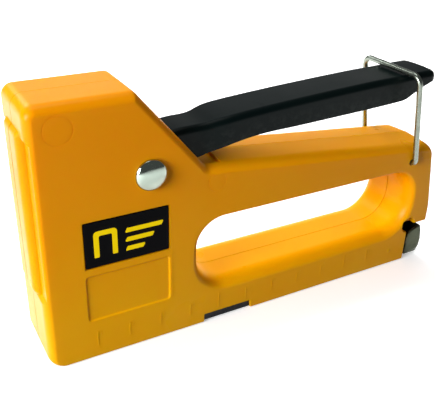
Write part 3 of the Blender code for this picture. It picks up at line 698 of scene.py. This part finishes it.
def panel_recess(side):
    depth = 0.35
    front, rear = LABEL_LOW.x - ZERO, LABEL_HIGH.x - ZERO
    corners = [(front, PANEL_LOW, 0.6), (rear, PANEL_LOW, 0.6), (rear, PANEL_HIGH, 0.6),
               (front, PANEL_HIGH, 0.6)]
    wider = moved_in(corners, [-0.45] * 4)
    layers = [(side * (HALF_WIDTH - depth), [rounded(corners, 4)]),
              (side * HALF_WIDTH, [rounded(wider, 4)]),
              (side * (HALF_WIDTH + 1), [rounded(wider, 4)])]
    return layered("panel", layers)


def lever_slot():
    half = LEVER_HALF + SLOT_ROOM
    high = PIVOT.z + 8.9
    low = GRIP_TOP_FRONT - 1.9
    return block("slot", PIVOT.x + 6, SLOPE_FOOT + 6.6, -half, half, low, high)


def base_opening():
    """The way in for the magazine, along the bottom and out of the back."""
    half = CHANNEL_HALF + GAP
    return [block("bottom_cut", FRONT + WALL, NOTCH_FRONT + 2, -half, half, -1, WALL + 1),
            block("back_cut", HOLE[1] - 6, NOTCH_FRONT + 2, -half, half, -1, HOLE[2] - WALL)]


def wall_holes(side):
    whole = across(side, HALF_WIDTH - WALL - 1, HALF_WIDTH + 1)
    outer_wall = across(side, HALF_WIDTH - WALL - 0.5, HALF_WIDTH + 1)
    front, rear, high = SIDE_SLOT
    corners = [(front, -2, 0.3), (rear, -2, 0.3), (rear - 0.5, high, 0.5), (front, high, 0.4)]
    window = rounded(corners, 4)
    cuts = [prism("window", window, side * CHANNEL_HALF, side * (HALF_WIDTH + 1)),
            rod("finger_notch", (NOTCH_FRONT, 0, NOTCH_HIGH), "Y", FINGER_NOTCH_R, *outer_wall),
            rod("pivot_hole", (PIVOT.x, 0, PIVOT.z), "Y", PIVOT_HOLE_R, *whole),
            rod("bail_hole", (BAIL_PIVOT.x, 0, BAIL_PIVOT.z), "Y", BAIL_HOLE_R, *whole)]
    return cuts


def make_shell(name, side):
    shell = cut(shell_blank(name, side), shoulder(side), shell_hollow(side))
    join(shell, front_rib(side))
    join(shell, *[boss(side, *place) for place in SCREW_BOSSES.values()])
    cut(shell, lever_slot(), *base_opening(), *wall_holes(side), panel_recess(side))
    return shell


def left_shell():
    shell = make_shell("shell_left", -1)
    front, rear = LABEL_LOW.x - ZERO - GAP, LABEL_HIGH.x - ZERO + GAP
    floor = LABEL_HIGH.y + GAP
    cut(shell, *[sink_ring(-1, *SCREW_BOSSES[key], radius) for key, radius in SHOWN_BOSSES.items()])
    cut(shell, block("label_recess", front, rear, -HALF_WIDTH - 1, floor,
                     LABEL_LOW.z - GAP, LABEL_HIGH.z + GAP))
    settle(shell, "housing", SHELL)
    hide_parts("left_shell")


def right_shell():
    shell = make_shell("shell_right", 1)
    for station, z in SCREW_BOSSES.values():
        cut(shell, rod("shank", (station, 0, z), "Y", 1.6, -HALF_WIDTH - 1, 1, 32))
        cut(shell, rod("head", (station, 0, z), "Y", 3.0, -HALF_WIDTH - 1, -HALF_WIDTH + 2.6))
    settle(shell, "housing", SHELL)
    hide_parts("right_shell")


def ruler():
    """Raised centimetre marks and their numbers along the base of the left shell."""
    height = 0.09
    face = -HALF_WIDTH
    marks = None
    for centimetre in range(1, RULER_LONG + 1):
        station = centimetre * 10
        low = SIDE_SLOT[2] + 1.2
        top = low + (4.6 if centimetre % 5 else 5.6)
        tick = block(f"tick_{centimetre}", station - 0.16, station + 0.16, face - height, face + 0.2,
                     low, top)
        marks = tick if marks is None else join(marks, tick)
    join(marks, block("flash_line", PANEL_LINE - 0.15, PANEL_LINE + 0.15, face - 0.06, face + 0.2,
                      PANEL_LOW + 0.4, PANEL_HIGH + 2))
    marks.name = "ruler_marks"
    settle(marks, "housing", SHELL)
    for centimetre in range(1, RULER_LONG + 1):
        curve = bpy.data.curves.new(f"ruler_number_{centimetre}", "FONT")
        curve.body = str(centimetre)
        curve.size = 2.3 * MM
        curve.extrude = height * MM / 2
        curve.align_x = "LEFT"
        number = bpy.data.objects.new(f"ruler_number_{centimetre}", curve)
        bpy.context.scene.collection.objects.link(number)
        number.rotation_euler = (math.pi / 2, 0, 0)
        number.location = world(centimetre * 10 + 0.5, face, SIDE_SLOT[2] + 4.4) * MM
        curve.materials.append(SHELL)
        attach(number, "housing")


def injection_dot():
    """The small gate mark near the rear of the base."""
    profile = [(0, HALF_WIDTH - 0.2), (0.75, HALF_WIDTH - 0.2), (0.75, HALF_WIDTH + 0.05),
               (0.45, HALF_WIDTH + 0.16), (0, HALF_WIDTH + 0.18)]
    dot = turned("gate_mark", profile, (120.7, 0, 5.6), "Y", 24)
    settle(dot, "housing", SHELL)


# ---------------------------------------------------------------- label


def label():
    low, high = LABEL_LOW, LABEL_HIGH
    corners = [(low.x - ZERO, low.z, 0.3), (high.x - ZERO, low.z, 0.3),
               (high.x - ZERO, high.z, 0.3), (low.x - ZERO, high.z, 0.3)]
    layers = [(high.y, [rounded(corners, 4)]), (low.y + 0.08, [rounded(corners, 4)]),
              (low.y, [rounded(moved_in(corners, [0.08] * 4), 4)])]
    plate = layered("label_plate", layers)
    settle(plate, "housing", LABEL_BLACK)
    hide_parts("left_label")
    print_on_label(low.x - ZERO, low.z, low.y)


def print_on_label(front, low, face):
    """A plain pictogram: a staple over three rules that get shorter."""
    out, back = face - 0.03, face + 0.05
    left, right, bottom, top, leg = front + 2.6, front + 9.4, low + 3.0, low + 11.2, 1.5
    crown = rounded([(left, bottom, 0.3), (left + leg, bottom, 0.3), (left + leg, top - leg, 0.5),
                     (right - leg, top - leg, 0.5), (right - leg, bottom, 0.3), (right, bottom, 0.3),
                     (right, top, 1.2), (left, top, 1.2)], 5)
    settle(prism("label_staple", crown, out, back), "housing", LABEL_YELLOW)
    for row, length in enumerate((11.0, 8.2, 5.4)):
        z = low + 9.4 - row * 2.9
        start = front + 11.6
        bar = rounded([(start, z - 0.7, 0.3), (start + length, z - 0.7, 0.3),
                       (start + length + 0.7, z + 0.7, 0.3), (start + 0.7, z + 0.7, 0.3)], 4)
        settle(prism(f"label_rule_{row}", bar, out, back), "housing", LABEL_YELLOW)


# ---------------------------------------------------------------- lever


def lever_top(x):
    """The handle's top line: it steps up behind the neck and rises to the end."""
    top = PIVOT.z + 8.2
    end = PIVOT.z + 14.5
    return smooth_height([
        (PIVOT.x + 4, top - 1.2), (SLOPE_FOOT - 6, top + 0.5), (SLOPE_FOOT + 2.5, top + 0.9),
        (SLOPE_FOOT + 7, top + 1.9), (SLOPE_FOOT + 14, top + 2.75), (SLOPE_FOOT + 30, top + 3.9),
        (SLOPE_FOOT + 46, top + 4.8), (SLOPE_FOOT + 62, top + 5.55), (LEVER_END - 14.3, end - 0.4),
        (LEVER_END - 6.3, end - 0.1), (LEVER_END, end - 0.03)])(x)


def lever_bottom(x):
    """The lower edge of the handle's skirts, which sweeps up at the end."""
    low = PIVOT.z
    return smooth_height([
        (PIVOT.x + 4, low - 1.5), (SLOPE_FOOT, low - 0.5), (SLOPE_FOOT + 4, low + 0.7),
        (SLOPE_FOOT + 11.4, low + 2.5), (SLOPE_FOOT + 20.4, low + 3.7), (SLOPE_FOOT + 34, low + 4.15),
        (SLOPE_FOOT + 46, low + 4.6), (SLOPE_FOOT + 61, low + 5.2), (SLOPE_FOOT + 74, low + 5.9),
        (LEVER_END - 13.3, low + 6.3), (LEVER_END - 10.7, low + 7.6), (LEVER_END - 7.3, low + 9.2),
        (LEVER_END - 3.3, low + 10.8), (LEVER_END - 1.3, low + 11.35), (LEVER_END, low + 12.0)])(x)


def eased(x, start, end):
    share = min(1.0, max(0.0, (x - start) / (end - start)))
    return share * share * (3 - 2 * share)


def lever_waist(x):
    """How much narrower each side of the handle is where it leaves the housing."""
    return NECK_IN * eased(x, PIVOT.x + 5.5, PIVOT.x + 10) * (1 - eased(x, SLOPE_FOOT, SLOPE_FOOT + 10))


def lever_plan(inset, stations):
    """Plan points (station, y) round the handle, moved in by inset, from the front left corner.
    The end bows out a little between two tight corners."""
    half = LEVER_HALF - inset
    bow = 0.5
    radius = max(2.8 - inset, 0.4)
    end = LEVER_END - inset
    side = [(x, lever_waist(x) - half) for x in stations]
    shoulder_x = end - bow - radius
    for step in range(7):
        angle = math.radians(82) * step / 6
        side.append((shoulder_x + radius * math.sin(angle), -half + radius * (1 - math.cos(angle))))
    last_x, last_y = side[-1]
    for step in range(1, 6):
        y = last_y * (1 - step / 5)
        side.append((last_x + (end - last_x) * (1 - (y / last_y) ** 2), y))
    return side + [(x, -y) for x, y in reversed(side[:-1])]


def lever_handle():
    """The pressed handle as one smooth skin: rounded edges, skirts and a closed, curled-up end."""
    first, last, count = PIVOT.x + 5, LEVER_END - 6, 80
    stations = [first + (last - first) * k / count for k in range(count + 1)]
    bm = bmesh.new()
    rings = [[bm.verts.new(world(x, y, lever_bottom(x))) for x, y in lever_plan(0, stations)]]
    for step in range(8):
        angle = math.pi / 2 * step / 7
        plan = lever_plan(LEVER_EDGE * (1 - math.cos(angle)), stations)
        drop = LEVER_EDGE * (1 - math.sin(angle))
        rings.append([bm.verts.new(world(x, y, lever_top(x) - drop)) for x, y in plan])
    for one, other in zip(rings, rings[1:]):
        bridged(bm, one, other)
    for ring in (rings[0], rings[-1]):
        size = len(ring)
        for k in range(size // 2):
            strip = [ring[k], ring[k + 1], ring[size - 2 - k], ring[size - 1 - k]]
            bm.faces.new(list(dict.fromkeys(strip)))
    return new_piece("lever_handle", bm)


def lever_inside(front, rear, inner):
    """The hollow under the handle's sheet between two stations."""
    stations = [front + (rear - front) * k / 16 for k in range(17)]
    top = [(x, lever_top(x) - LEVER_SHEET) for x in stations]
    low = PIVOT.z - 12
    outline = [(front, low), (rear, low), *reversed(top)]
    return prism("inside", outline, -inner, inner)


def lever_arm(side):
    """One of the two cheeks that run forward from the handle, past the pivot, to the lifting pin."""
    corners = [
        (LIFT_PIN.x, LIFT_PIN.z - 3.6, 3.0), (PIVOT.x - 2, PIVOT.z - 5.0, 2.0),
        (PIVOT.x + 5.2, PIVOT.z - 3.2, 1.0), (PIVOT.x + 5.2, PIVOT.z + 6.2, 1.0),
        (PIVOT.x - 4, PIVOT.z + 4.8, 2.5), (LIFT_PIN.x - 3.0, LIFT_PIN.z + 3.4, 2.5),
    ]
    inner, outer = LEVER_HALF - 1.45, LEVER_HALF - 0.02
    arm = prism("arm", rounded(corners, 8), side * inner, side * outer)
    far = LEVER_HALF + 2
    cut(arm, rod("hole", (PIVOT.x, 0, PIVOT.z), "Y", PIVOT_HOLE_R, -far, far))
    return cut(arm, rod("hole", (LIFT_PIN.x, 0, LIFT_PIN.z), "Y", LIFT_HOLE_R, -far, far))


def lever():
    inner = LEVER_HALF - LEVER_SHEET
    handle = cut(lever_handle(), lever_inside(PIVOT.x + 3, SLOPE_FOOT + 11, inner - NECK_IN),
                 lever_inside(SLOPE_FOOT + 10.5, LEVER_END - 4.5, inner))
    join(handle, lever_arm(-1), lever_arm(1))
    settle(handle, "lever", PAINT, 40)
    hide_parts("lever")


# ---------------------------------------------------------------- rivet, bail and clip


def pivot_rivet():
    """Domed on both sides, with a soft shoulder at the rim of each head."""
    radius = (RIVET_HIGH.x - RIVET_LOW.x) / 2
    top = RIVET_HIGH.y
    seat = HALF_WIDTH + 0.05
    rim = 0.35
    half = [(2.5, seat), (radius - 0.15, seat), (radius, seat + rim)]
    for step in range(1, 13):
        angle = math.pi / 2 * step / 12
        half.append((radius * math.cos(angle), seat + rim + (top - seat - rim) * math.sin(angle)))
    half[-1] = (0, top)
    profile = [(r, -along) for r, along in reversed(half)] + half
    rivet = turned("rivet_dome", profile, (PIVOT.x, 0, PIVOT.z), "Y", 64)
    settle(rivet, "housing", RIVET_CHROME, 50)
    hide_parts("pivot_rivet")


def bent(points, radii, steps=10):
    """A path through the points with each inner corner bent to its radius."""
    path = [points[0]]
    for before, here, after, radius in zip(points, points[1:], points[2:], radii):
        back = (before - here).normalized()
        ahead = (after - here).normalized()
        half = back.angle(ahead) / 2
        centre = here + (back + ahead).normalized() * (radius / math.sin(half))
        start = here + back * (radius / math.tan(half)) - centre
        for step in range(steps + 1):
            turn = Matrix.Rotation(-(math.pi - 2 * half) * step / steps, 3, back.cross(ahead))
            path.append(centre + turn @ start)
    return [*path, points[-1]]


def wire_bail():
    """One wire: its ends turn into the housing and its bar crosses the handle."""
    leg = BAIL_HIGH.y - BAIL_WIRE_R
    top = BAIL_HIGH.z - BAIL_WIRE_R
    bar = BAIL_LOW.x - ZERO + BAIL_WIRE_R
    end = HALF_WIDTH - WALL - 0.8
    x, z = BAIL_PIVOT.x, BAIL_PIVOT.z
    corners = [world(x, -end, z), world(x, -leg, z), world(bar, -leg, top),
               world(bar, leg, top), world(x, leg, z), world(x, end, z)]
    path = bent(corners, [1.45, 3.0, 3.0, 1.45])
    curve = bpy.data.curves.new("bail_loop", "CURVE")
    curve.dimensions = "3D"
    curve.bevel_depth = (BAIL_WIRE_R - 0.02) * MM
    curve.bevel_resolution = 6
    curve.use_fill_caps = True
    spline = curve.splines.new("POLY")
    spline.points.add(len(path) - 1)
    for point, place in zip(spline.points, path):
        point.co = (*(place * MM), 1)
    spline.use_smooth = True
    loop = bpy.data.objects.new("bail_loop", curve)
    bpy.context.scene.collection.objects.link(loop)
    curve.materials.append(WIRE_STEEL)
    settle(loop, "bail", WIRE_STEEL)
    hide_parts("wire_bail")


def magazine_clip():
    """Folded sheet: two cheeks, a floor and a bowed back, open at the top."""
    front, rear = CLIP_LOW.x - ZERO, CLIP_HIGH.x - ZERO
    high, low, half = CLIP_HIGH.z, CLIP_LOW.z, CLIP_HIGH.y
    corners = [
        (front, low, 0.4), (rear - 1.6, low, 1.0), (rear - 0.35, low + 2.4, 2.0),
        (rear, low + 5.2, 3.0),
        (rear - 0.5, high - 2.4, 2.5), (rear - 1.2, high, 0.6), (front + 4.2, high - 0.7, 2.0),
        (front + 1.4, high - 1.7, 2.0), (front + 0.15, high - 3.6, 2.0),
    ]
    layers = []
    for side in (-1, 1):
        for step in (range(4) if side < 0 else reversed(range(4))):
            angle = math.pi / 2 * (3 - step) / 3
            inset = 0.5 * (1 - math.cos(angle))
            y = half - 0.5 * (1 - math.sin(angle))
            layers.append((side * y, [rounded(moved_in(corners, [inset] * len(corners)), 4)]))
    clip = layered("clip_sheet", layers)
    inner = half - CLIP_SHEET
    space = block("space", front + CLIP_SHEET, rear - 0.7 - CLIP_SHEET, -inner, inner,
                  low + CLIP_SHEET, high + 1)
    cut(clip, space, rod("hole", (0, 0, low + 3.3), "X", 1.05, rear - 30, rear - 3))
    settle(clip, "magazine_unit", CLIP_ZINC)
    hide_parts("magazine_clip")


# ---------------------------------------------------------------- carried-over pieces


# Nodes of the frame that show as they are, each with its material
CARRIED = {
    "screw_head": SCREW_ZINC, "screw_grip": SCREW_ZINC, "screw_rear": SCREW_ZINC,
    "screw_base": SCREW_ZINC, "spring_seat": DARK_STEEL, "hammer_bumper": RUBBER, "nose_plate": PLAIN_STEEL,
    "magazine_channel": DARK_STEEL, "staple_rail": PLAIN_STEEL, "lift_pin": PLAIN_STEEL,
    "lever_spring": SPRING_STEEL, "hammer_block": DARK_STEEL, "driver_blade": PLAIN_STEEL,
    "power_spring": SPRING_STEEL, "pusher_rod": PLAIN_STEEL, "rod_block": ACETAL,
    "clip_rivet": RIVET_CHROME, "pusher_spring": SPRING_STEEL, "follower": ACETAL,
}


def carried_pieces():
    for node, material in CARRIED.items():
        piece = frame["nodes"][node]
        piece.data.materials.clear()
        piece.data.materials.append(material)


# ---------------------------------------------------------------- studio


def camera():
    """Looks down from the front left, a little tilted, with a short portrait lens."""
    azimuth, elevation, roll = (math.radians(a) for a in (-29.69, 27.97, 1.75))
    back = Vector((math.sin(azimuth) * math.cos(elevation), -math.cos(azimuth) * math.cos(elevation),
                   math.sin(elevation)))
    right = (-back).cross(Vector((0, 0, 1))).normalized()
    up = right.cross(-back)
    turned_right = right * math.cos(roll) + up * math.sin(roll)
    turned_up = up * math.cos(roll) - right * math.sin(roll)
    data = bpy.data.cameras.new("camera")
    data.lens = 54.93
    data.sensor_width = 36
    data.clip_start = 0.01
    eye = bpy.data.objects.new("camera", data)
    bpy.context.scene.collection.objects.link(eye)
    turn = Matrix((turned_right, turned_up, back)).transposed()
    eye.matrix_world = Matrix.Translation(world(-36.09, -160.92, 133.71) * MM) @ turn.to_4x4()
    bpy.context.scene.camera = eye


# Name, place, target, size and power of each lamp, and whether shiny surfaces mirror it
LAMPS = (
    ("low_back", (0.05, 0.66, 0.34), (0.03, 0, 0.05), 0.4, 7.6, False),
    ("window", (-0.50, -0.16, 0.20), (-0.02, 0, 0.03), 0.30, 4.4, True),
    ("overhead", (-0.05, 0.15, 0.75), (0, 0, 0.03), 0.5, 1.2, True),
    ("far_panel", (0.40, 0.50, 0.34), (0, 0, 0.05), 0.6, 1.6, False),
    ("back_card", (0.31, 0.60, 0.34), (0, 0, 0.06), 0.6, 0.24, True),
    ("wire_glint", (-0.18, 0.64, 0.49), (0.05, 0, 0.07), 0.3, 1.2, True),
    ("side_fill", (0.28, -0.62, 0.06), (0.02, 0, 0.04), 0.4, 0.65, False),
)


def area_light(name, place, target, size, power, mirrored):
    data = bpy.data.lights.new(name, "AREA")
    data.shape = "DISK"
    data.size = size
    data.energy = power
    light = bpy.data.objects.new(name, data)
    bpy.context.scene.collection.objects.link(light)
    light.location = place
    light.visible_glossy = mirrored
    light.rotation_euler = (Vector(target) - Vector(place)).to_track_quat("-Z", "Y").to_euler()


def floor_card():
    """A pale card that glows a little, so that it stays white without more lamp power."""
    material, wire, shader = new_material("floor_card")
    grain = wire.noise(wire.node("ShaderNodeTexCoord").outputs["Object"], 40.0, 3.0)
    colour = wire.mix(grain, (0.93, 0.93, 0.93, 1), (0.96, 0.96, 0.96, 1))
    wire.put(shader, "Base Color", colour)
    shader.inputs["Roughness"].default_value = 0.9
    shader.inputs["Specular IOR Level"].default_value = 0.1
    shader.inputs["Emission Color"].default_value = (1, 1, 1, 1)
    shader.inputs["Emission Strength"].default_value = 0.35
    bm = bmesh.new()
    bmesh.ops.create_grid(bm, x_segments=1, y_segments=1, size=3.0)
    mesh = bpy.data.meshes.new("floor")
    bm.to_mesh(mesh)
    bm.free()
    mesh.materials.append(material)
    floor = bpy.data.objects.new("floor", mesh)
    floor.location = (0, 0, -0.0001)
    bpy.context.scene.collection.objects.link(floor)
    floor.visible_diffuse = False      # no light comes back up from it onto the tool


def studio():
    floor_card()
    sky_world = bpy.data.worlds.new("studio")
    bpy.context.scene.world = sky_world
    sky_world.use_nodes = True
    sky = sky_world.node_tree.nodes["Background"]
    sky.inputs["Color"].default_value = (1, 1, 1, 1)
    sky.inputs["Strength"].default_value = 0.10
    for lamp in LAMPS:
        area_light(*lamp)
    bpy.context.scene.view_settings.view_transform = "Standard"


# ---------------------------------------------------------------- assembly


left_shell()
right_shell()
ruler()
injection_dot()
label()
lever()
pivot_rivet()
wire_bail()
magazine_clip()
carried_pieces()
camera()
studio()
